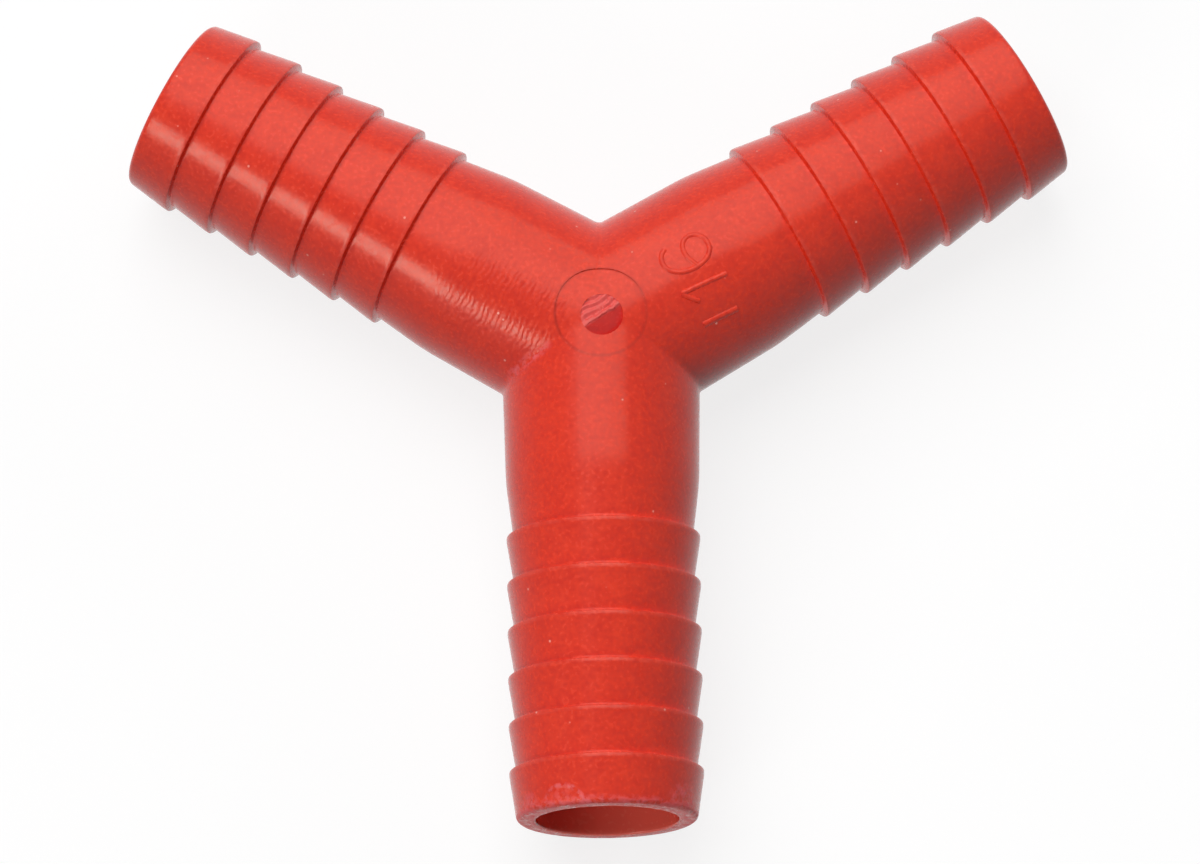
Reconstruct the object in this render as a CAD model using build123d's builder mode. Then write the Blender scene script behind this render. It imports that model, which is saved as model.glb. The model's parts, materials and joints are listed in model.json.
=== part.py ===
from build123d import *
import math
import os

# A tubing Y connector, moulded in one piece: three barbed hose tails, 120 degrees apart, that
# meet at a short hub. Millimetres. The axes of the tails lie in the plane z = 0 and cross at the
# origin. The injection gate was on top, at +Z, and the stem of the Y points along -Y.

# Layout of the tails
tail_count = 3
stem_angle = -90.0

# The wall between the foot of the barbs and the bore, the way through for liquid or air
wall_thickness = 1.65

# Barbs, for hose of 16 mm bore: each falls as a long ramp towards the tip and as a steep face
# towards the hub, with a narrow land between the two
crest_diameter = 17.0
barb_height = 0.6
barb_pitch = 4.2
barb_count = 6
barb_land = 0.3
barb_face_run = 0.14
tip_length = 4.45

# Hub and neck: the hub has mould draft, and the neck is the cone from it to the first barb. The
# rounding between them runs along each as far as the shoulder's reach.
hub_reach = 13.4
shoulder_diameter = 17.0
hub_draft = 1.2
shoulder_reach = 1.1
neck_length = 4.8
crotch_round = 0.7

# Round pads left a little low by the mould's inserts, one on each side of the hub
pad_diameter = 8.0
pad_depth = 0.1
pad_seat_depth = 0.4

# Gate on the upper pad: a crater where the sprue tore out, and the ridge that it left standing
# along one side of the crater
crater_diameter = 3.7
crater_depth = 0.45
ridge_width = 1.4
ridge_height = 0.4
ridge_offset = 0.65
ridge_angle = 32.0

# Worked out from the sizes above
crest_radius = crest_diameter / 2
root_radius = crest_radius - barb_height
bore_radius = root_radius - wall_thickness
shoulder_radius = shoulder_diameter / 2
hub_radius = shoulder_radius + hub_reach * math.tan(math.radians(hub_draft))
neck_turn = math.atan2(shoulder_radius - root_radius, neck_length) - math.radians(hub_draft)
shoulder_round = shoulder_reach / math.tan(abs(neck_turn) / 2)
first_foot = hub_reach + neck_length
barb_feet = [first_foot + barb_pitch * index for index in range(barb_count)]
tail_end = barb_feet[-1] + tip_length
mitre_angle = 180.0 / tail_count


def keep_sector():
    # Trims a form that runs along +X to its own sector, between the two mitre planes.
    for side in (-1, 1):
        mitre = math.radians(mitre_angle)
        outward = (-math.sin(mitre), side * math.cos(mitre), 0)
        split(bisect_by=Plane(origin=(0, 0, 0), z_dir=outward), keep=Keep.BOTTOM)


# Half section of a tail, from the middle of the hub to the tip
tail_outline = [(0, hub_radius), (hub_reach, shoulder_radius), (first_foot, root_radius)]
for foot in barb_feet:
    crest = foot + barb_face_run
    next_foot = foot + (tip_length if foot == barb_feet[-1] else barb_pitch)
    tail_outline += [(crest, crest_radius), (crest + barb_land, crest_radius), (next_foot, root_radius)]

with BuildPart() as tail_form:
    with BuildSketch(Plane.XZ) as tail_section:
        with BuildLine():
            Polyline((0, 0), *tail_outline, (tail_end, 0), close=True)
        make_face()
        corners = tail_section.vertices()
        fillet(corners.sort_by_distance((hub_reach, shoulder_radius))[0], shoulder_round)
    revolve(axis=Axis.X)
    keep_sector()

with BuildPart() as bore_form:
    with BuildSketch(Plane.XZ):
        Rectangle(tail_end + 1, bore_radius, align=(Align.MIN, Align.MIN))
    revolve(axis=Axis.X)
    keep_sector()

# The three tails joined, with sharp creases between them
with BuildPart() as blank:
    with PolarLocations(0, tail_count, start_angle=stem_angle):
        add(tail_form.part)

# A pad is the hub's own surface, cut round and pressed in by the pad's depth
pad_rim_drop = pad_diameter / 2 * math.sin(math.radians(mitre_angle))
pad_seat = math.sqrt(hub_radius ** 2 - pad_rim_drop ** 2) - pad_seat_depth
with BuildPart() as pad:
    add(blank.part)
    with BuildSketch(Plane.XY.offset(pad_seat)):
        Circle(pad_diameter / 2)
    extrude(amount=hub_radius, mode=Mode.INTERSECT)

with BuildPart() as y_connector:
    add(blank.part)

    # The pads' seats, cut before the creases are rounded, because there the creases run out
    for side in (-1, 1):
        with BuildSketch(Plane.XY.offset(side * pad_seat)):
            Circle(pad_diameter / 2)
        extrude(amount=side * hub_radius, mode=Mode.SUBTRACT)

    # The creases from the pads down to the crotches lie on the mitre planes
    creases = []
    for edge in y_connector.edges():
        middle = edge @ 0.5
        reach = math.hypot(middle.X, middle.Y)
        turn = math.degrees(math.atan2(middle.Y, middle.X)) - stem_angle - mitre_angle
        off_mitre = abs((turn + mitre_angle) % (2 * mitre_angle) - mitre_angle)
        if edge.geom_type != GeomType.LINE and reach > pad_diameter / 2 and off_mitre < 0.1:
            creases.append(edge)
    fillet(creases, crotch_round)

    with Locations((0, 0, -pad_depth)):
        add(pad.part)
    with Locations((0, 0, pad_depth)):
        add(mirror(pad.part, about=Plane.XY, mode=Mode.PRIVATE))

    # Gate crater with its torn ridge
    crater_floor = hub_radius - pad_depth - crater_depth
    with BuildSketch(Plane.XY.offset(crater_floor)):
        Circle(crater_diameter / 2)
    extrude(amount=hub_radius, mode=Mode.SUBTRACT)
    ridge_side = math.radians(ridge_angle + 90)
    with BuildSketch(Plane.XY.offset(crater_floor)):
        Circle(crater_diameter / 2)
        with Locations((ridge_offset * math.cos(ridge_side), ridge_offset * math.sin(ridge_side))):
            Rectangle(crater_diameter, ridge_width, rotation=ridge_angle, mode=Mode.INTERSECT)
    extrude(amount=ridge_height)

    with PolarLocations(0, tail_count, start_angle=stem_angle):
        add(bore_form.part, mode=Mode.SUBTRACT)

y_connector.part.label = "y_connector"

os.makedirs("parts", exist_ok=True)
export_step(y_connector.part, "parts/y_connector.step")

print(f"Tail end {tail_end:.2f} mm from the crossing, bore {2 * bore_radius:.2f} mm")
print(f"Volume {y_connector.part.volume:.0f} cubic mm, valid {y_connector.part.is_valid}")
print(f"Box {y_connector.part.bounding_box()}")
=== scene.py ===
import json
import math

import bpy
import numpy as np
from mathutils import Matrix, Vector


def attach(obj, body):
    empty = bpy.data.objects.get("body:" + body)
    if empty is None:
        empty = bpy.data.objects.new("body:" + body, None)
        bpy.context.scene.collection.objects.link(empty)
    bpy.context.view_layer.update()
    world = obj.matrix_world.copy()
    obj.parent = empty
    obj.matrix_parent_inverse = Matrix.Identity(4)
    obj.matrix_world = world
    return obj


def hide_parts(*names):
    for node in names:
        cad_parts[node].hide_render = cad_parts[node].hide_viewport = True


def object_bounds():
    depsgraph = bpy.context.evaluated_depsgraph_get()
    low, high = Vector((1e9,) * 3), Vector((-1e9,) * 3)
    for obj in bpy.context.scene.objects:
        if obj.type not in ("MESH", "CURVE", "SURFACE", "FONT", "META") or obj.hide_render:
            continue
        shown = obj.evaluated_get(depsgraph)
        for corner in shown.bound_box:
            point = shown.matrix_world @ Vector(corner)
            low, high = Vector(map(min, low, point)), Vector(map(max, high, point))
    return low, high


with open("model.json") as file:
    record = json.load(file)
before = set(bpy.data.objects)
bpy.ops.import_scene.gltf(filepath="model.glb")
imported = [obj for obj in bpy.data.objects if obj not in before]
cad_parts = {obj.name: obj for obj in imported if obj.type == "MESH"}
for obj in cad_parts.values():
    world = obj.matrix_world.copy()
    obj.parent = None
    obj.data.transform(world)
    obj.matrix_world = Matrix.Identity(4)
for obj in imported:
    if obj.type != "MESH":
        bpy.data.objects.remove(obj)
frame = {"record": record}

cad_low, cad_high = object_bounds()

# A barbed hose Y in red moulded plastic. Metres. Three tails lie in the plane z = 0 and meet at the
# origin, and the gate was on top.
mm = 0.001

# Sizes that the record gives
mounts = {mount["name"]: mount for mount in frame["record"]["mounts"]}
crest_radius = mounts["stem_tail"]["dims"]["r_mm"] * mm
bore_radius = mounts["stem_bore"]["dims"]["r_mm"] * mm
tail_end = mounts["stem_bore"]["dims"]["length_mm"] * mm
tail_headings = {"stem": 270.0, "right": 30.0, "left": 150.0}

# Barbs
barb_height = 0.6 * mm
barb_pitch = 4.2 * mm
barb_count = 6
barb_land = 0.3 * mm
barb_face_run = 0.14 * mm
tip_length = 4.45 * mm
root_radius = crest_radius - barb_height
first_foot = tail_end - tip_length - barb_pitch * (barb_count - 1)

# Hub and neck
neck_length = 4.8 * mm
hub_reach = first_foot - neck_length
shoulder_radius = 8.5 * mm
hub_slope = math.tan(math.radians(1.2))
hub_radius = shoulder_radius + hub_reach * hub_slope
shoulder_round = 1.1 * mm
crotch_round = 0.7 * mm

# The tails are so many degrees apart, and each ends at the planes midway to its neighbours
tail_spread = 120.0
mitre = math.radians(tail_spread / 2)

# Small roundings that the mould leaves
crest_round = 0.05 * mm
land_round = 0.06 * mm
foot_round = 0.1 * mm
rim_round = 0.45 * mm
bore_edge_round = 0.15 * mm

# Pads and gate
pad_radius = 4.0 * mm
pad_depth = 0.1 * mm
crater_radius = 1.85 * mm
crater_depth = 0.45 * mm
gate_place = Vector((0.1, -0.3, 0.0)) * mm
tear_heading = math.radians(32.0)

# Faces round a tail, the gap at which two points are one, and a radius inside a tail's wall
faces_around = 144
one_point = 0.002 * mm
in_wall = bore_radius + 0.5 * mm


def deselect_everything():
    if bpy.context.mode != "OBJECT":
        bpy.ops.object.mode_set(mode="OBJECT")
    bpy.ops.object.select_all(action="DESELECT")


def work_on(piece):
    deselect_everything()
    piece.select_set(True)
    bpy.context.view_layer.objects.active = piece


def edit_all(piece):
    # Edit mode, with all of the piece selected
    work_on(piece)
    bpy.ops.object.mode_set(mode="EDIT")
    bpy.ops.mesh.select_all(action="SELECT")


def unselect_edges(piece):
    # Nothing of the piece is selected, so that code can select edges by their place
    work_on(piece)
    bpy.ops.object.mode_set(mode="EDIT")
    bpy.ops.mesh.select_mode(type="EDGE")
    bpy.ops.mesh.select_all(action="DESELECT")
    bpy.ops.object.mode_set(mode="OBJECT")


def copy_of(piece, name):
    copy = piece.copy()
    copy.data = piece.data.copy()
    copy.name = name
    bpy.context.collection.objects.link(copy)
    return copy


def apply_modifier(piece, kind, **settings):
    work_on(piece)
    modifier = piece.modifiers.new(kind.lower(), kind)
    for name, value in settings.items():
        setattr(modifier, name, value)
    bpy.ops.object.modifier_apply(modifier=modifier.name)


# The tails


def tail_axis(heading):
    # The direction of a tail, from its heading in degrees
    turn = math.radians(heading)
    return Vector((math.cos(turn), math.sin(turn), 0.0))


def ring_edges(piece, along, radius):
    # The edges of the ring of the tail at that place, of that radius
    near = 2 * one_point
    points = np.array([vertex.co for vertex in piece.data.vertices])
    here = abs(points[:, 0] - along) < near
    here &= abs(np.hypot(points[:, 1], points[:, 2]) - radius) < near
    return [edge for edge in piece.data.edges if here[edge.vertices[0]] and here[edge.vertices[1]]]


def round_ring(piece, along, radius, width, steps):
    unselect_edges(piece)
    for edge in ring_edges(piece, along, radius):
        edge.select = True
    bpy.ops.object.mode_set(mode="EDIT")
    bpy.ops.mesh.bevel(offset=width, segments=steps, profile=0.5, affect="EDGES")
    bpy.ops.object.mode_set(mode="OBJECT")


def make_tail():
    # A tail along +X, drawn ring by ring from beyond the middle of the hub out to the tip and back
    # down the bore. Support rings beside the corners keep the long slopes straight.
    beyond = -10.0 * mm
    near = 0.25 * mm
    near_shoulder = 1.5 * mm
    near_rim = 0.8 * mm
    bore_depths = (0.5, 2.0, 5.0, 10.0, 20.0, 30.0)
    outline = [(hub_reach - near_shoulder, shoulder_radius + near_shoulder * hub_slope)]
    corners = [(hub_reach, shoulder_radius, shoulder_round, 5)]
    outline.append((hub_reach, shoulder_radius))
    neck_slope = (shoulder_radius - root_radius) / neck_length
    for step in (near_shoulder, neck_length / 2, neck_length - near):
        outline.append((hub_reach + step, shoulder_radius - neck_slope * step))
    for number in range(barb_count):
        foot = first_foot + number * barb_pitch
        crest = foot + barb_face_run
        land_end = crest + barb_land
        next_foot = foot + (tip_length if number == barb_count - 1 else barb_pitch)
        slope = barb_height / (next_foot - land_end)
        outline += [(foot, root_radius), (crest, crest_radius), (land_end, crest_radius)]
        corners += [(foot, root_radius, foot_round, 2), (crest, crest_radius, crest_round, 3)]
        corners += [(land_end, crest_radius, land_round, 2)]
        outline.append((land_end + near, crest_radius - slope * near))
        middle = (land_end + next_foot) / 2
        outline.append((middle, crest_radius - slope * (middle - land_end)))
        last = near if number < barb_count - 1 else near_rim
        outline.append((next_foot - last, root_radius + slope * last))
    outline += [(tail_end, root_radius), (tail_end, in_wall), (tail_end, bore_radius)]
    corners += [(tail_end, root_radius, rim_round, 6), (tail_end, bore_radius, bore_edge_round, 3)]
    for depth in bore_depths:
        outline.append((tail_end - depth * mm, bore_radius))
    outline.append((beyond, bore_radius))

    deselect_everything()
    start_radius = hub_radius - beyond * hub_slope
    bpy.ops.mesh.primitive_circle_add(
        vertices=faces_around, radius=start_radius, rotation=(0, math.pi / 2, 0))
    tail = bpy.context.object
    tail.location.x = beyond
    bpy.ops.object.transform_apply(location=True, rotation=True, scale=True)
    edit_all(tail)
    here, radius = beyond, start_radius
    for along, next_radius in outline:
        bpy.ops.mesh.extrude_region_move(TRANSFORM_OT_translate={"value": (along - here, 0, 0)})
        grow = next_radius / radius
        bpy.ops.transform.resize(value=(1, grow, grow), center_override=(along, 0, 0))
        here, radius = along, next_radius
    bpy.ops.object.mode_set(mode="OBJECT")
    for corner in corners:
        round_ring(tail, *corner)

    # Cut to the sector that the tail shares with no other
    for side in (-1, 1):
        edit_all(tail)
        bpy.ops.mesh.select_mode(type="VERT")
        bpy.ops.mesh.bisect(
            plane_co=(0, 0, 0), plane_no=(-math.sin(mitre), side * math.cos(mitre), 0),
            clear_outer=True, threshold=one_point / 20)
        bpy.ops.object.mode_set(mode="OBJECT")
    return tail


def join_tails(tail):
    tails = []
    for name, heading in tail_headings.items():
        copy = copy_of(tail, name + "_tail")
        copy.rotation_euler.z = math.radians(heading)
        work_on(copy)
        bpy.ops.object.transform_apply(location=True, rotation=True, scale=True)
        tails.append(copy)
    bpy.data.objects.remove(tail)
    deselect_everything()
    for copy in tails:
        copy.select_set(True)
    bpy.context.view_layer.objects.active = tails[0]
    bpy.ops.object.join()
    body = bpy.context.object
    edit_all(body)
    bpy.ops.mesh.remove_doubles(threshold=one_point)
    bpy.ops.mesh.normals_make_consistent(inside=False)
    bpy.ops.object.mode_set(mode="OBJECT")
    return body


def off_mitre(point):
    # The angle between a point and the nearest plane where two tails meet, seen from above
    turn = math.degrees(math.atan2(point[1], point[0])) - tail_headings["right"]
    return abs((turn % tail_spread) - tail_spread / 2)


def distance_from_axes(point):
    # How far a point is from the axis of the nearest tail
    flat = Vector((point[0], point[1], 0.0))
    distances = []
    for heading in tail_headings.values():
        axis = tail_axis(heading)
        if flat.dot(axis) >= -one_point / 2:
            distances.append((Vector(point) - axis * flat.dot(axis)).length)
    return min(distances)


def round_creases(body):
    # The mould's small fillet in the creases between the tails. It is weighted, because the crease
    # opens out towards the pads and its fillet gets narrower there.
    crease_start = pad_radius - 0.3 * mm
    on_mitre = 0.01
    weights = body.data.attributes.new("bevel_weight_edge", "FLOAT", "EDGE")
    widest = math.tan(math.asin(math.cos(mitre)))
    for edge in body.data.edges:
        ends = [body.data.vertices[index].co for index in edge.vertices]
        middle = (ends[0] + ends[1]) / 2
        reach = math.hypot(middle.x, middle.y)
        if reach < crease_start or max(off_mitre(end) for end in ends) > on_mitre:
            continue
        if distance_from_axes(middle) < in_wall:
            continue
        level = math.sqrt(max(0.0, 1.0 - (middle.z / hub_radius) ** 2))
        weights.data[edge.index].value = math.tan(math.asin(level * math.cos(mitre))) / widest
    apply_modifier(
        body, "BEVEL", limit_method="WEIGHT", width=crotch_round * widest, segments=5,
        use_clamp_overlap=False)

    # Rings along the hub, so that its surface shades evenly
    long_edge = 4.0 * mm
    hub_area = 16.0 * mm
    unselect_edges(body)
    for edge in body.data.edges:
        ends = [body.data.vertices[index].co for index in edge.vertices]
        far = [math.hypot(end.x, end.y) for end in ends]
        if (ends[0] - ends[1]).length > long_edge and max(far) < hub_area:
            middle = (ends[0] + ends[1]) / 2
            edge.select = distance_from_axes(middle) > in_wall
    bpy.ops.object.mode_set(mode="EDIT")
    bpy.ops.mesh.subdivide(number_cuts=15)
    bpy.ops.object.mode_set(mode="OBJECT")


# The pads and the gate


def press_pad(body, side):
    # The round pad follows the hub's own surface, a little lower. What is cut away is the disc of
    # space between the two.
    space_height = 4.0 * mm
    space_middle = side * (hub_radius + 0.6 * mm)
    lowered = copy_of(body, "lowered_hub")
    work_on(lowered)
    lowered.location.z = -side * pad_depth
    bpy.ops.object.transform_apply(location=True, rotation=True, scale=True)
    deselect_everything()
    bpy.ops.mesh.primitive_cylinder_add(
        vertices=96, radius=pad_radius, depth=space_height, location=(0, 0, space_middle))
    space = bpy.context.object
    bpy.ops.object.transform_apply(location=True, rotation=True, scale=True)
    apply_modifier(space, "BOOLEAN", operation="DIFFERENCE", object=lowered, solver="EXACT")
    apply_modifier(body, "BOOLEAN", operation="DIFFERENCE", object=space, solver="EXACT")
    bpy.data.objects.remove(lowered)
    bpy.data.objects.remove(space)


def torn_height(x, y):
    # Height of the torn gate over the crater's floor. x runs along the tear and y across it, all in
    # mm. The sprue stood on the far side and tore off in ridges, with a lip along their near edge.
    # The near side is smooth and falls away to the crater's rim.
    stump_height = 0.30
    stump_slope = 0.14
    lip_height = 0.14
    lip_width = 0.14
    ridge_height = 0.07
    ridge_pitch = 0.62

    # The ragged edge, the small waves and the two pits were placed one by one
    ragged = -0.12 + 0.07 * np.sin(3.1 * x + 0.4) + 0.04 * np.sin(7.7 * x + 1.9)
    stands = np.clip((y - ragged) / stump_slope + 0.5, 0.0, 1.0)
    stands = stands * stands * (3 - 2 * stands)
    bend = 1.3 * np.sin(2.1 * x + 0.5) + 0.9
    ridges = ridge_height * np.sin(2 * np.pi * y / ridge_pitch + bend)
    torn = 0.03 * np.sin(5.3 * x + 2.2 * y) * np.sin(6.1 * y - 1.3 * x + 0.7)
    torn += 0.02 * np.sin(11.0 * x - 7.0 * y) * np.sin(9.0 * y + 8.0 * x)
    pit = 0.16 * np.exp(-((x - 0.35) ** 2 + (y - 0.50) ** 2) / 0.03)
    pit += 0.12 * np.exp(-((x + 0.62) ** 2 + (y - 0.30) ** 2) / 0.02)
    lip = lip_height * np.exp(-((y - ragged - 0.2) / lip_width) ** 2)
    hollow = 0.28 + 0.40 * (y + 0.12)
    return stands * (stump_height + lip + ridges + torn - pit) + (1 - stands) * hollow


def tear_gate(body):
    # A disc of space with the torn surface as its underside, cut out of the upper pad
    rings = 34
    ring_width = crater_radius / (rings + 1.5)
    space_height = 2.0 * mm
    deselect_everything()
    bpy.ops.mesh.primitive_circle_add(vertices=72, radius=crater_radius, fill_type="NGON")
    space = bpy.context.object
    bpy.ops.object.mode_set(mode="EDIT")
    bpy.ops.mesh.select_mode(type="FACE")
    bpy.ops.mesh.select_all(action="SELECT")
    for ring in range(rings):
        bpy.ops.mesh.inset(thickness=ring_width)
    bpy.ops.mesh.poke()
    bpy.ops.mesh.select_all(action="SELECT")
    bpy.ops.mesh.extrude_region_move(TRANSFORM_OT_translate={"value": (0, 0, space_height)})
    bpy.ops.object.mode_set(mode="OBJECT")
    floor = hub_radius - pad_depth - crater_depth
    across = Matrix.Rotation(-tear_heading, 3, "Z")
    for vertex in space.data.vertices:
        if vertex.co.z < space_height / 2:
            place = across @ vertex.co / mm
            vertex.co.z = float(torn_height(place.x, place.y)) * mm
        vertex.co.z += floor
    space.location = gate_place
    work_on(space)
    bpy.ops.object.transform_apply(location=True, rotation=True, scale=True)
    edit_all(space)
    bpy.ops.mesh.normals_make_consistent(inside=False)
    bpy.ops.object.mode_set(mode="OBJECT")
    apply_modifier(body, "BOOLEAN", operation="DIFFERENCE", object=space, solver="EXACT")
    bpy.data.objects.remove(space)


# The raised size number

# 16, for hose of 16 mm bore, and a bar, in plain strokes. In mm: along the right tail from its middle,
# and round it from its crown, towards the left as seen from the hub.
stroke_height = 0.13 * mm
stroke_width = 0.56 * mm
bar_width = 0.8 * mm
number_strokes = {
    "one": [(11.3, -2.65), (10.0, -2.5), (8.4, -2.35), (6.95, -2.25)],
    "one_flag": [(6.9, -2.3), (7.4, -2.95), (8.0, -3.6)],
    "six_back": [(7.7, 2.0), (7.1, 1.65), (6.8, 0.9), (6.95, 0.1), (7.75, -0.6), (8.9, -0.9),
                 (10.0, -0.8), (10.8, -0.45), (11.2, 0.2)],
    "six_bowl": [(11.1, -0.1), (11.3, 0.9), (10.8, 1.75), (10.1, 2.05), (9.4, 1.8), (9.0, 1.1),
                 (9.0, 0.2), (9.4, -0.75)],
    "bar": [(7.35, -5.7), (9.0, -5.8), (10.7, -5.95)],
}


def on_right_hub(along, across, lift):
    # A point on the right tail's hub, or as far over it as lift says
    axis = tail_axis(tail_headings["right"])
    left = Vector((-axis.y, axis.x, 0.0))
    radius = hub_radius - along * hub_slope
    turn = across / radius
    return axis * along + (left * math.sin(turn) + Vector((0, 0, 1)) * math.cos(turn)) * (radius + lift)


def smooth_route(points, steps):
    # Points along the quadratic curve that a stroke's corner points pull on
    ends = [points[0], *points, points[-1]]
    route = []
    for first, second, third in zip(ends, ends[1:], ends[2:]):
        for step in range(steps):
            t = step / steps
            pulls = ((1 - t) ** 2 / 2, 0.5 + t * (1 - t), t ** 2 / 2)
            along = sum(pull * point[0] for pull, point in zip(pulls, (first, second, third)))
            across = sum(pull * point[1] for pull, point in zip(pulls, (first, second, third)))
            route.append((along, across))
    return [points[0], *route, points[-1]]


def make_stroke(name, points):
    # A round bar along the stroke, sunk so that only its crown stands out of the hub
    width = bar_width if name == "bar" else stroke_width
    line = bpy.data.curves.new(name, "CURVE")
    line.dimensions = "3D"
    route = smooth_route(points, 8)
    spline = line.splines.new("POLY")
    spline.points.add(len(route) - 1)
    for point, (along, across) in zip(spline.points, route):
        point.co = (*on_right_hub(along * mm, across * mm, stroke_height - width / 2), 1.0)
    line.bevel_depth = width / 2
    line.bevel_resolution = 5
    line.use_fill_caps = True
    stroke = bpy.data.objects.new(name, line)
    bpy.context.collection.objects.link(stroke)
    work_on(stroke)
    bpy.ops.object.convert(target="MESH")
    stroke = bpy.context.object
    edit_all(stroke)
    bpy.ops.mesh.remove_doubles(threshold=one_point / 2)
    bpy.ops.mesh.normals_make_consistent(inside=False)
    bpy.ops.object.mode_set(mode="OBJECT")
    return stroke


def raise_number(body):
    for name, points in number_strokes.items():
        stroke = make_stroke(name, points)
        apply_modifier(body, "BOOLEAN", operation="UNION", object=stroke, solver="EXACT")
        bpy.data.objects.remove(stroke)


def clear_slivers(body):
    # The cuts leave faces of no width where a pad's rim crosses a crease
    sliver = 0.003 * mm
    edit_all(body)
    bpy.ops.mesh.remove_doubles(threshold=sliver)
    bpy.ops.mesh.dissolve_degenerate(threshold=sliver)
    bpy.ops.mesh.select_all(action="SELECT")
    bpy.ops.mesh.quads_convert_to_tris(quad_method="BEAUTY", ngon_method="BEAUTY")
    bpy.ops.mesh.dissolve_degenerate(threshold=sliver)
    bpy.ops.mesh.select_all(action="SELECT")
    bpy.ops.mesh.fill_holes(sides=4)
    bpy.ops.mesh.select_all(action="SELECT")
    bpy.ops.mesh.normals_make_consistent(inside=False)
    bpy.ops.object.mode_set(mode="OBJECT")


# The chart of the surface


def chart(body):
    # Each face's place along its tail and round it, in mm, as a UV map for the material's patterns
    mesh = body.data
    mesh.uv_layers.new(name="tail_chart")
    for other in [one for one in mesh.uv_layers if one.name != "tail_chart"]:
        mesh.uv_layers.remove(other)
    layer = mesh.uv_layers["tail_chart"]
    axes = [tail_axis(heading) for heading in tail_headings.values()]
    for face in mesh.polygons:
        axis = max(axes, key=face.center.dot)
        left = Vector((-axis.y, axis.x, 0.0))
        middle = math.atan2(face.center.dot(left), face.center.z)
        for corner in face.loop_indices:
            place = mesh.vertices[mesh.loops[corner].vertex_index].co
            turn = math.atan2(place.dot(left), place.z)
            turn += 2 * math.pi * round((middle - turn) / (2 * math.pi))
            layer.data[corner].uv = (place.dot(axis) / mm, turn * crest_radius / mm)


# The material


def linear(hex_colour):
    # An sRGB hex value as linear light
    parts = [int(hex_colour[at:at + 2], 16) / 255 for at in (1, 3, 5)]
    return (*[p / 12.92 if p <= 0.04045 else ((p + 0.055) / 1.055) ** 2.4 for p in parts], 1.0)


def add_node(tree, kind, settings=None, **links):
    # Adds a node. Settings go to its own fields, and links to its sockets, as a value or as another
    # node's output. A socket is named by its label with _ for a space, or by its number as in_0.
    node = tree.nodes.new(kind)
    for name, value in (settings or {}).items():
        setattr(node, name, value)
    for name, value in links.items():
        if name.startswith("in_"):
            socket = node.inputs[int(name[3:])]
        else:
            socket = node.inputs[name.replace("_", " ")]
        if isinstance(value, bpy.types.NodeSocket):
            tree.links.new(value, socket)
        else:
            socket.default_value = value
    return node


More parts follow.
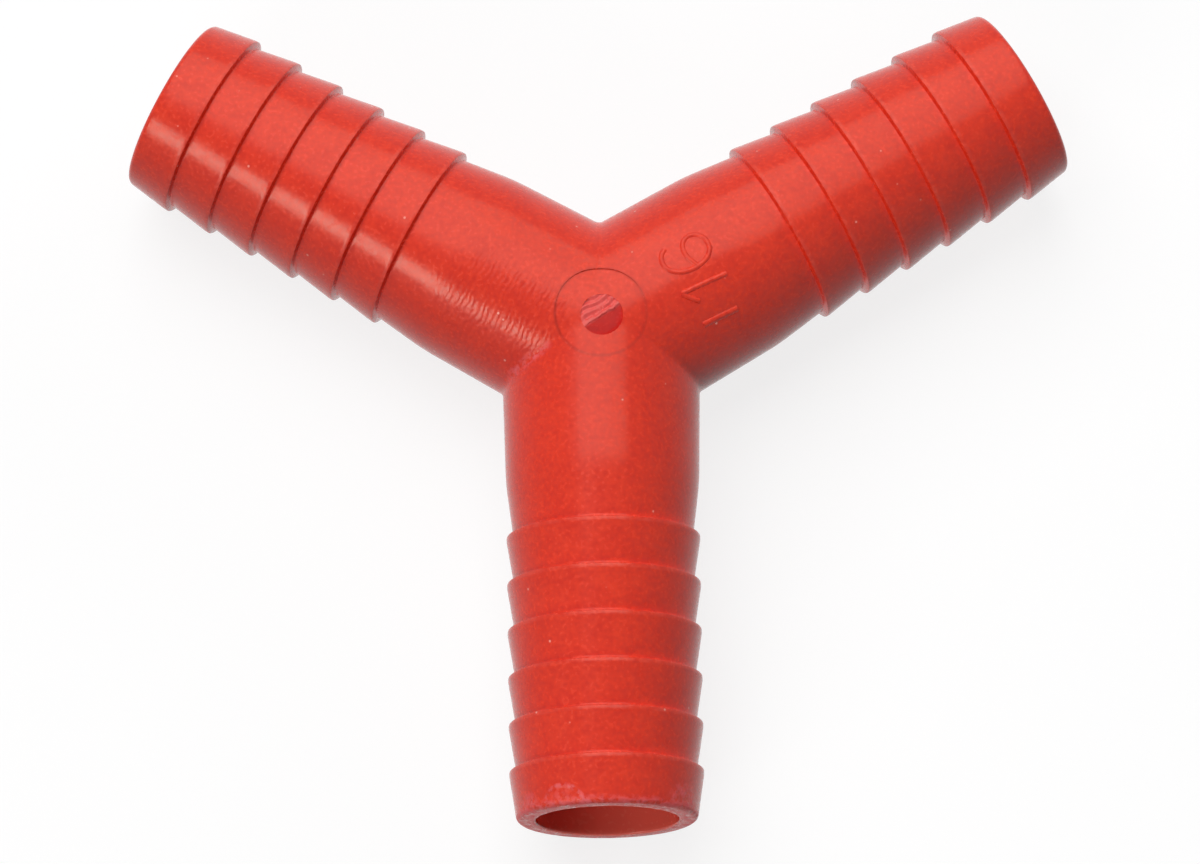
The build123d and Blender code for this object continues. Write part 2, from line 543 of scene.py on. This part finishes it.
def make_red_plastic():
    # Polypropylene, injection moulded in a polished steel mould: an even saturated red with a soft
    # gloss, mottled by the flow of the melt, paler where the barbs' lands and the stem's tip rubbed.
    # Painted highlight lies on the lands and in the crease between the stem and the left tail, and
    # painted shade round the pads and in the gate's hollow.
    material = bpy.data.materials.new("red_moulded_polypropylene")
    material.use_nodes = True
    tree = material.node_tree
    tree.nodes.clear()
    out = add_node(tree, "ShaderNodeOutputMaterial")
    where = add_node(tree, "ShaderNodeTexCoord").outputs["Object"]
    in_mm = add_node(
        tree, "ShaderNodeVectorMath", {"operation": "SCALE"}, Vector=where, Scale=1 / mm).outputs[0]
    chart_place = add_node(tree, "ShaderNodeUVMap", {"uv_map": "tail_chart"}).outputs[0]
    chart_parts = add_node(tree, "ShaderNodeSeparateXYZ", Vector=chart_place)
    along = chart_parts.outputs["X"]
    place = add_node(tree, "ShaderNodeSeparateXYZ", Vector=in_mm)

    # Flow mottling: patches of 2.5 mm, clouds of 0.5 mm and grains of 0.35 mm
    patches = add_node(tree, "ShaderNodeTexNoise", Vector=in_mm, Scale=1 / 2.5, Detail=2.0).outputs["Fac"]
    clouds = add_node(tree, "ShaderNodeTexNoise", Vector=in_mm, Scale=1 / 0.5, Detail=1.0).outputs["Fac"]
    grains = add_node(tree, "ShaderNodeTexNoise", Vector=in_mm, Scale=1 / 0.35, Detail=0.0).outputs["Fac"]
    mixed = add_node(
        tree, "ShaderNodeMath", {"operation": "MULTIPLY_ADD"}, in_0=patches, in_1=0.6,
        in_2=clouds).outputs[0]
    mixed = add_node(
        tree, "ShaderNodeMath", {"operation": "MULTIPLY_ADD"}, in_0=grains, in_1=0.8, in_2=mixed).outputs[0]
    tone = add_node(tree, "ShaderNodeMapRange", Value=mixed, From_Min=0.85, From_Max=1.55).outputs[0]
    red = add_node(
        tree, "ShaderNodeMix", {"data_type": "RGBA"}, Factor=tone,
        in_6=linear("#D1260F"), in_7=linear("#E2361A")).outputs[2]

    # Lands of the barbs, paler in places of 0.7 mm: partly rubbed, partly a painted highlight where the
    # crests catch the light
    behind_foot = add_node(
        tree, "ShaderNodeMath", {"operation": "SUBTRACT"}, in_0=along, in_1=first_foot / mm).outputs[0]
    on_barbs = add_node(
        tree, "ShaderNodeMath", {"operation": "GREATER_THAN"}, in_0=behind_foot, in_1=0.0).outputs[0]
    past_foot = add_node(
        tree, "ShaderNodeMath", {"operation": "MODULO"}, in_0=behind_foot, in_1=barb_pitch / mm).outputs[0]
    from_land = add_node(
        tree, "ShaderNodeMath", {"operation": "SUBTRACT"}, in_0=past_foot,
        in_1=(barb_face_run + barb_land / 2) / mm).outputs[0]
    from_land = add_node(tree, "ShaderNodeMath", {"operation": "ABSOLUTE"}, in_0=from_land).outputs[0]
    land_rub_and_highlight = add_node(
        tree, "ShaderNodeMapRange", {"interpolation_type": "SMOOTHSTEP"}, Value=from_land,
        From_Min=barb_land / mm * 0.5, From_Max=barb_land / mm * 0.9, To_Min=1.0, To_Max=0.0).outputs[0]
    land_rub_and_highlight = add_node(tree, "ShaderNodeMath", {"operation": "MULTIPLY"}, in_0=land_rub_and_highlight, in_1=on_barbs).outputs[0]
    rub_and_highlight_patches = add_node(tree, "ShaderNodeTexNoise", Vector=in_mm, Scale=1 / 0.7, Detail=2.0).outputs["Fac"]
    rub_and_highlight_patches = add_node(
        tree, "ShaderNodeMapRange", Value=rub_and_highlight_patches, From_Min=0.4, From_Max=0.62, To_Min=0.15).outputs[0]
    land_rub_and_highlight = add_node(tree, "ShaderNodeMath", {"operation": "MULTIPLY"}, in_0=land_rub_and_highlight, in_1=rub_and_highlight_patches).outputs[0]
    paler_wear_and_highlight = add_node(tree, "ShaderNodeMath", {"operation": "MULTIPLY"}, in_0=land_rub_and_highlight, in_1=0.12).outputs[0]
    colour = add_node(
        tree, "ShaderNodeMix", {"data_type": "RGBA"}, Factor=paler_wear_and_highlight, in_6=red,
        in_7=linear("#EE7466")).outputs[2]

    # Painted shade: a faint darker line along the small step that the mould's insert leaves round each pad
    from_middle = add_node(
        tree, "ShaderNodeVectorMath", {"operation": "MULTIPLY"}, in_0=in_mm,
        in_1=(1.0, 1.0, 0.0)).outputs[0]
    from_middle = add_node(
        tree, "ShaderNodeVectorMath", {"operation": "LENGTH"}, in_0=from_middle).outputs["Value"]
    off_line = add_node(
        tree, "ShaderNodeMath", {"operation": "SUBTRACT"}, in_0=from_middle,
        in_1=pad_radius / mm).outputs[0]
    off_line = add_node(tree, "ShaderNodeMath", {"operation": "ABSOLUTE"}, in_0=off_line).outputs[0]
    pad_step_shade = add_node(
        tree, "ShaderNodeMapRange", Value=off_line, From_Min=0.05, From_Max=0.22, To_Min=0.4,
        To_Max=0.0).outputs[0]
    colour = add_node(
        tree, "ShaderNodeMix", {"data_type": "RGBA"}, Factor=pad_step_shade, in_6=colour,
        in_7=linear("#A5261B")).outputs[2]

    # Specks of 0.2 mm, about one to every 12 square mm
    cells = add_node(tree, "ShaderNodeTexVoronoi", Vector=in_mm, Scale=1 / 2.2)
    speck = add_node(
        tree, "ShaderNodeMapRange", Value=cells.outputs["Distance"], From_Min=0.035, From_Max=0.06,
        To_Min=1.0, To_Max=0.0).outputs[0]
    colour = add_node(
        tree, "ShaderNodeMix", {"data_type": "RGBA"}, Factor=speck, in_6=colour,
        in_7=linear("#F5988A")).outputs[2]

    # Scuffs, in mm: along the stem's rim, in three rubbed spots behind it and round the bruise that is one
    # of them. Along the crease between the stem and the left tail lies a painted highlight, made paler in
    # the same way. A rub has its place, its reach and its strength.
    bruise_place = (-4.0, -44.0, 7.2)
    bruise_reach = 2.1
    rubs = [
        (bruise_place, bruise_reach, 0.45),
        ((6.6, -43.4, 4.6), 2.3, 1.0),
        ((-6.8, -43.5, 4.3), 1.7, 0.9),
    ]
    lit_crease_place = (-6.6, -3.8, 5.6)
    across_crease = (-0.5, 0.866, 0.0)
    broken = add_node(tree, "ShaderNodeTexNoise", Vector=in_mm, Scale=1 / 0.6, Detail=4.0, Roughness=0.65)
    broken = add_node(
        tree, "ShaderNodeMapRange", Value=broken.outputs["Fac"], From_Min=0.4, From_Max=0.62).outputs[0]
    worn = add_node(
        tree, "ShaderNodeMapRange", Value=place.outputs["Y"], From_Min=(0.8 * mm - tail_end) / mm,
        From_Max=(0.3 * mm - tail_end) / mm).outputs[0]
    for rub_place, reach, strength in rubs:
        away = add_node(
            tree, "ShaderNodeVectorMath", {"operation": "DISTANCE"}, in_0=in_mm,
            in_1=rub_place).outputs["Value"]
        rubbed = add_node(
            tree, "ShaderNodeMapRange", Value=away, From_Min=reach * 0.6, From_Max=reach, To_Min=strength,
            To_Max=0.0).outputs[0]
        worn = add_node(tree, "ShaderNodeMath", {"operation": "MAXIMUM"}, in_0=worn, in_1=rubbed).outputs[0]
    to_bruise = add_node(
        tree, "ShaderNodeVectorMath", {"operation": "DISTANCE"}, in_0=in_mm,
        in_1=bruise_place).outputs["Value"]
    ring = add_node(
        tree, "ShaderNodeMath", {"operation": "SUBTRACT"}, in_0=to_bruise, in_1=bruise_reach).outputs[0]
    ring = add_node(tree, "ShaderNodeMath", {"operation": "ABSOLUTE"}, in_0=ring).outputs[0]
    ring = add_node(
        tree, "ShaderNodeMapRange", Value=ring, From_Min=0.08, From_Max=0.3, To_Min=1.0,
        To_Max=0.0).outputs[0]
    # Painted highlight: a paler line along the crease between the stem and the left tail
    off_crease = add_node(
        tree, "ShaderNodeVectorMath", {"operation": "DOT_PRODUCT"}, in_0=in_mm,
        in_1=across_crease).outputs["Value"]
    off_crease = add_node(tree, "ShaderNodeMath", {"operation": "ABSOLUTE"}, in_0=off_crease).outputs[0]
    crease_highlight = add_node(
        tree, "ShaderNodeMapRange", Value=off_crease, From_Min=0.15, From_Max=0.6, To_Min=1.0,
        To_Max=0.0).outputs[0]
    to_crease = add_node(
        tree, "ShaderNodeVectorMath", {"operation": "DISTANCE"}, in_0=in_mm,
        in_1=lit_crease_place).outputs["Value"]
    near_crease = add_node(
        tree, "ShaderNodeMapRange", Value=to_crease, From_Min=2.2, From_Max=3.4, To_Min=1.0,
        To_Max=0.0).outputs[0]
    crease_highlight = add_node(
        tree, "ShaderNodeMath", {"operation": "MULTIPLY"}, in_0=crease_highlight, in_1=near_crease).outputs[0]
    scuff_and_crease_highlight = add_node(tree, "ShaderNodeMath", {"operation": "MAXIMUM"}, in_0=worn, in_1=ring).outputs[0]
    scuff_and_crease_highlight = add_node(tree, "ShaderNodeMath", {"operation": "MAXIMUM"}, in_0=scuff_and_crease_highlight, in_1=crease_highlight).outputs[0]
    scuff_and_crease_highlight = add_node(tree, "ShaderNodeMath", {"operation": "MULTIPLY"}, in_0=scuff_and_crease_highlight, in_1=broken).outputs[0]
    off_axis = add_node(
        tree, "ShaderNodeVectorMath", {"operation": "MULTIPLY"}, in_0=in_mm,
        in_1=(1.0, 0.0, 1.0)).outputs[0]
    off_axis = add_node(
        tree, "ShaderNodeVectorMath", {"operation": "LENGTH"}, in_0=off_axis).outputs["Value"]
    outside = add_node(
        tree, "ShaderNodeMath", {"operation": "GREATER_THAN"}, in_0=off_axis,
        in_1=bore_radius / mm + 0.1).outputs[0]
    scuff_and_crease_highlight = add_node(tree, "ShaderNodeMath", {"operation": "MULTIPLY"}, in_0=scuff_and_crease_highlight, in_1=outside).outputs[0]
    # The scuffs, and the painted highlight in the crease, make the plastic paler
    paler_wear_and_highlight = add_node(tree, "ShaderNodeMath", {"operation": "MULTIPLY"}, in_0=scuff_and_crease_highlight, in_1=0.8).outputs[0]
    colour = add_node(
        tree, "ShaderNodeMix", {"data_type": "RGBA"}, Factor=paler_wear_and_highlight, in_6=colour,
        in_7=linear("#E4646A")).outputs[2]

    # The bores are brighter than their own colour, by the light that comes through the wall. There
    # the surface faces the middle plane of the part.
    normal = add_node(tree, "ShaderNodeNewGeometry").outputs["Normal"]
    facing = add_node(tree, "ShaderNodeSeparateXYZ", Vector=normal)
    away_from_plane = add_node(
        tree, "ShaderNodeMath", {"operation": "MULTIPLY"}, in_0=facing.outputs["Z"],
        in_1=place.outputs["Z"]).outputs[0]
    in_bore = add_node(
        tree, "ShaderNodeMapRange", Value=away_from_plane, From_Min=-0.5, From_Max=-0.05, To_Min=1.0,
        To_Max=0.0).outputs[0]
    colour = add_node(
        tree, "ShaderNodeMix", {"data_type": "RGBA"}, Factor=in_bore, in_6=colour,
        in_7=linear("#FF6A58")).outputs[2]

    # The gate: pinker where the sprue tore off, and painted shade, a deeper red, over the smooth hollow of
    # the crater
    from_gate = add_node(
        tree, "ShaderNodeVectorMath", {"operation": "SUBTRACT"}, in_0=in_mm,
        in_1=gate_place / mm).outputs[0]
    across_tear = add_node(
        tree, "ShaderNodeVectorMath", {"operation": "DOT_PRODUCT"}, in_0=from_gate,
        in_1=(-math.sin(tear_heading), math.cos(tear_heading), 0.0)).outputs["Value"]
    in_plan = add_node(
        tree, "ShaderNodeVectorMath", {"operation": "MULTIPLY"}, in_0=from_gate,
        in_1=(1.0, 1.0, 0.0)).outputs[0]
    in_plan = add_node(tree, "ShaderNodeVectorMath", {"operation": "LENGTH"}, in_0=in_plan).outputs["Value"]
    in_crater = add_node(
        tree, "ShaderNodeMath", {"operation": "LESS_THAN"}, in_0=in_plan,
        in_1=crater_radius / mm).outputs[0]
    on_top = add_node(
        tree, "ShaderNodeMath", {"operation": "GREATER_THAN"}, in_0=place.outputs["Z"],
        in_1=bore_radius / mm + 1.0).outputs[0]
    in_crater = add_node(
        tree, "ShaderNodeMath", {"operation": "MULTIPLY"}, in_0=in_crater, in_1=on_top).outputs[0]
    torn_side = add_node(
        tree, "ShaderNodeMapRange", Value=across_tear, From_Min=-0.25, From_Max=0.0).outputs[0]
    torn_pink_and_hollow_shade = add_node(
        tree, "ShaderNodeMix", {"data_type": "RGBA"}, Factor=torn_side, in_6=linear("#C4242A"),
        in_7=linear("#E0605F")).outputs[2]
    tinted = add_node(
        tree, "ShaderNodeMath", {"operation": "MULTIPLY"}, in_0=in_crater, in_1=0.6).outputs[0]
    colour = add_node(
        tree, "ShaderNodeMix", {"data_type": "RGBA"}, Factor=tinted, in_6=colour, in_7=torn_pink_and_hollow_shade).outputs[2]

    # Chatter marks of 0.5 mm across the lower flank of the left tail's hub. A wave texture of scale
    # 0.314 has marks 1 mm apart.
    flank_place = (-9.0, -0.3, 6.9)
    to_flank = add_node(
        tree, "ShaderNodeVectorMath", {"operation": "DISTANCE"}, in_0=in_mm,
        in_1=flank_place).outputs["Value"]
    flank = add_node(
        tree, "ShaderNodeMapRange", {"interpolation_type": "SMOOTHSTEP"}, Value=to_flank,
        From_Min=4.0, From_Max=8.5, To_Min=1.0, To_Max=0.0).outputs[0]
    ripples = add_node(
        tree, "ShaderNodeTexWave", {"bands_direction": "X"}, Vector=chart_place, Scale=0.314 / 0.5,
        Distortion=5.0, Detail=3.0, Detail_Scale=1.6).outputs["Fac"]
    ripples = add_node(
        tree, "ShaderNodeMath", {"operation": "MULTIPLY"}, in_0=ripples, in_1=flank).outputs[0]

    # The gloss, broken by the grains, the scuffs and the painted crease highlight, and the relief of the
    # marks, the scuffs and that crease line
    roughness = add_node(
        tree, "ShaderNodeMapRange", Value=grains, From_Min=0.3, From_Max=0.7, To_Min=0.14,
        To_Max=0.28).outputs[0]
    roughness = add_node(
        tree, "ShaderNodeMath", {"operation": "MULTIPLY_ADD"}, in_0=scuff_and_crease_highlight, in_1=0.35,
        in_2=roughness).outputs[0]
    relief = add_node(tree, "ShaderNodeBump", Distance=0.012 * mm, Height=ripples).outputs[0]
    relief = add_node(tree, "ShaderNodeBump", Distance=0.03 * mm, Height=scuff_and_crease_highlight, Normal=relief).outputs[0]
    surface = add_node(
        tree, "ShaderNodeBsdfPrincipled", Base_Color=colour, Roughness=roughness, IOR=1.49,
        Specular_IOR_Level=0.3, Normal=relief)
    tree.links.new(surface.outputs[0], out.inputs[0])
    return material


# The stage, the lamps and the camera

bright_white = linear("#FFFFFF")
warm_white = linear("#FFFFEA")
shown_white = 0.98
floor_glow = 0.82
dim_light = 0.05
softbox_distance = 1.2


def seen_rays(tree):
    # 1 for the rays that show the stage: the camera's, and those mirrored or let through
    ray = add_node(tree, "ShaderNodeLightPath")
    seen = add_node(
        tree, "ShaderNodeMath", {"operation": "MAXIMUM"}, in_0=ray.outputs["Is Camera Ray"],
        in_1=ray.outputs["Is Glossy Ray"]).outputs[0]
    return add_node(
        tree, "ShaderNodeMath", {"operation": "MAXIMUM"}, in_0=seen,
        in_1=ray.outputs["Is Transmission Ray"]).outputs[0]


def make_stage():
    # A floor of white paper, which glows where it is seen and isn't there for views from below
    deselect_everything()
    bpy.ops.mesh.primitive_plane_add(size=6.0, location=(0, 0, cad_low.z))
    floor = bpy.context.object
    floor.name = "floor"
    bpy.ops.object.transform_apply(location=True, rotation=True, scale=True)
    paper = bpy.data.materials.new("white_paper")
    paper.use_nodes = True
    tree = paper.node_tree
    tree.nodes.clear()
    out = add_node(tree, "ShaderNodeOutputMaterial")
    seen = seen_rays(tree)
    shade = add_node(
        tree, "ShaderNodeMix", {"data_type": "RGBA"}, Factor=seen, in_6=linear("#6C6C6C"),
        in_7=linear("#767676"))
    matt = add_node(tree, "ShaderNodeBsdfDiffuse", Color=shade.outputs[2])
    glow_strength = add_node(
        tree, "ShaderNodeMath", {"operation": "MULTIPLY"}, in_0=seen, in_1=floor_glow).outputs[0]
    glow = add_node(tree, "ShaderNodeEmission", Color=bright_white, Strength=glow_strength)
    matt = add_node(tree, "ShaderNodeAddShader", in_0=matt.outputs[0], in_1=glow.outputs[0])
    clear = add_node(tree, "ShaderNodeBsdfTransparent")
    side = add_node(tree, "ShaderNodeNewGeometry")
    both = add_node(
        tree, "ShaderNodeMixShader", in_0=side.outputs["Backfacing"], in_1=matt.outputs[0],
        in_2=clear.outputs[0])
    tree.links.new(both.outputs[0], out.inputs[0])
    floor.data.materials.append(paper)

    # A backdrop round it for low views, which lights nothing
    bpy.ops.mesh.primitive_uv_sphere_add(segments=48, ring_count=24, radius=8.0)
    backdrop = bpy.context.object
    backdrop.name = "backdrop"
    white = bpy.data.materials.new("white_backdrop")
    white.use_nodes = True
    tree = white.node_tree
    tree.nodes.clear()
    out = add_node(tree, "ShaderNodeOutputMaterial")
    glow = add_node(tree, "ShaderNodeEmission", Color=bright_white, Strength=shown_white)
    tree.links.new(glow.outputs[0], out.inputs[0])
    backdrop.data.materials.append(white)
    backdrop.visible_diffuse = False
    backdrop.visible_shadow = False

    # The world lights the plastic dimly, and shows white to views from under the floor
    world = bpy.data.worlds.new("dim_studio")
    bpy.context.scene.world = world
    world.use_nodes = True
    tree = world.node_tree
    tree.nodes.clear()
    out = add_node(tree, "ShaderNodeOutputWorld")
    strength = add_node(
        tree, "ShaderNodeMapRange", Value=seen_rays(tree), To_Min=dim_light,
        To_Max=shown_white).outputs[0]
    white = add_node(tree, "ShaderNodeBackground", Color=bright_white, Strength=strength)
    tree.links.new(white.outputs[0], out.inputs["Surface"])


def add_softbox(name, azimuth, elevation, width, height, level, mirrored):
    # A softbox that faces the object. Level is the brightness of its cloth, where 1 is white. Some are
    # only mirrored in the gloss, a little warm, and the rest only light the plastic, as with flags in
    # a studio.
    lamp = bpy.data.lights.new(name, "AREA")
    lamp.shape = "RECTANGLE"
    lamp.size = width
    lamp.size_y = height
    lamp.energy = level * math.pi * width * height
    lamp.color = warm_white[:3] if mirrored else bright_white[:3]
    softbox = bpy.data.objects.new(name, lamp)
    turn = math.radians(azimuth)
    rise = math.radians(elevation)
    towards = Vector((math.cos(turn) * math.cos(rise), math.sin(turn) * math.cos(rise), math.sin(rise)))
    softbox.location = towards * softbox_distance
    softbox.rotation_euler = towards.to_track_quat("Z", "Y").to_euler()
    softbox.visible_camera = False
    softbox.visible_glossy = mirrored
    softbox.visible_diffuse = not mirrored
    bpy.context.collection.objects.link(softbox)


def make_camera():
    # Fitted to the photo by the corners of the barbs' crests. It looks at the origin from above, and
    # then shifts in its own frame, without a turn.
    lens = bpy.data.cameras.new("camera")
    lens.sensor_width = 36.0
    lens.lens = 271.98
    lens.clip_start = 0.01
    lens.clip_end = 50.0
    pitch, yaw, roll = (math.radians(angle) for angle in (14.117, -0.199, -0.811))
    distance = 0.8
    shift_right = -0.0475 * mm
    shift_up = -8.4702 * mm
    back = Vector((math.sin(yaw) * math.cos(pitch), -math.sin(pitch), math.cos(yaw) * math.cos(pitch)))
    level = Vector((0, 1, 0)).cross(back).normalized()
    upright = back.cross(level)
    right = level * math.cos(roll) + upright * math.sin(roll)
    up = upright * math.cos(roll) - level * math.sin(roll)
    camera = bpy.data.objects.new("camera", lens)
    place = back * distance + right * shift_right + up * shift_up
    turn = Matrix((right, up, back)).transposed().to_4x4()
    camera.matrix_world = Matrix.Translation(place) @ turn
    bpy.context.collection.objects.link(camera)
    bpy.context.scene.camera = camera


# The piece, and then the studio round it

body = join_tails(make_tail())
round_creases(body)
for side in (1, -1):
    press_pad(body, side)
tear_gate(body)
raise_number(body)
clear_slivers(body)
body.name = "red_hose_y"
body.data.name = "red_hose_y"
chart(body)
work_on(body)
smooth_angle = math.radians(32.0)
bpy.ops.object.shade_smooth_by_angle(angle=smooth_angle)
body.data.materials.clear()
body.data.materials.append(make_red_plastic())
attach(body, "root")
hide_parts("y_connector")

make_stage()
add_softbox("key_light", 116.0, 60.0, 1.2, 1.2, 3.5, mirrored=False)
add_softbox("low_left_fill", 235.0, 24.0, 0.8, 0.5, 4.1, mirrored=False)
add_softbox("low_right_fill", 40.0, 18.0, 0.6, 0.4, 4.6, mirrored=False)
add_softbox("main_softbox", 90.0, 52.0, 1.4, 1.5, 1.6, mirrored=True)
add_softbox("side_softbox", 214.0, 33.0, 0.6, 0.32, 7.0, mirrored=True)
make_camera()
bpy.context.scene.view_settings.view_transform = "Standard"

print("triangles", sum(len(face.vertices) - 2 for face in body.data.polygons))
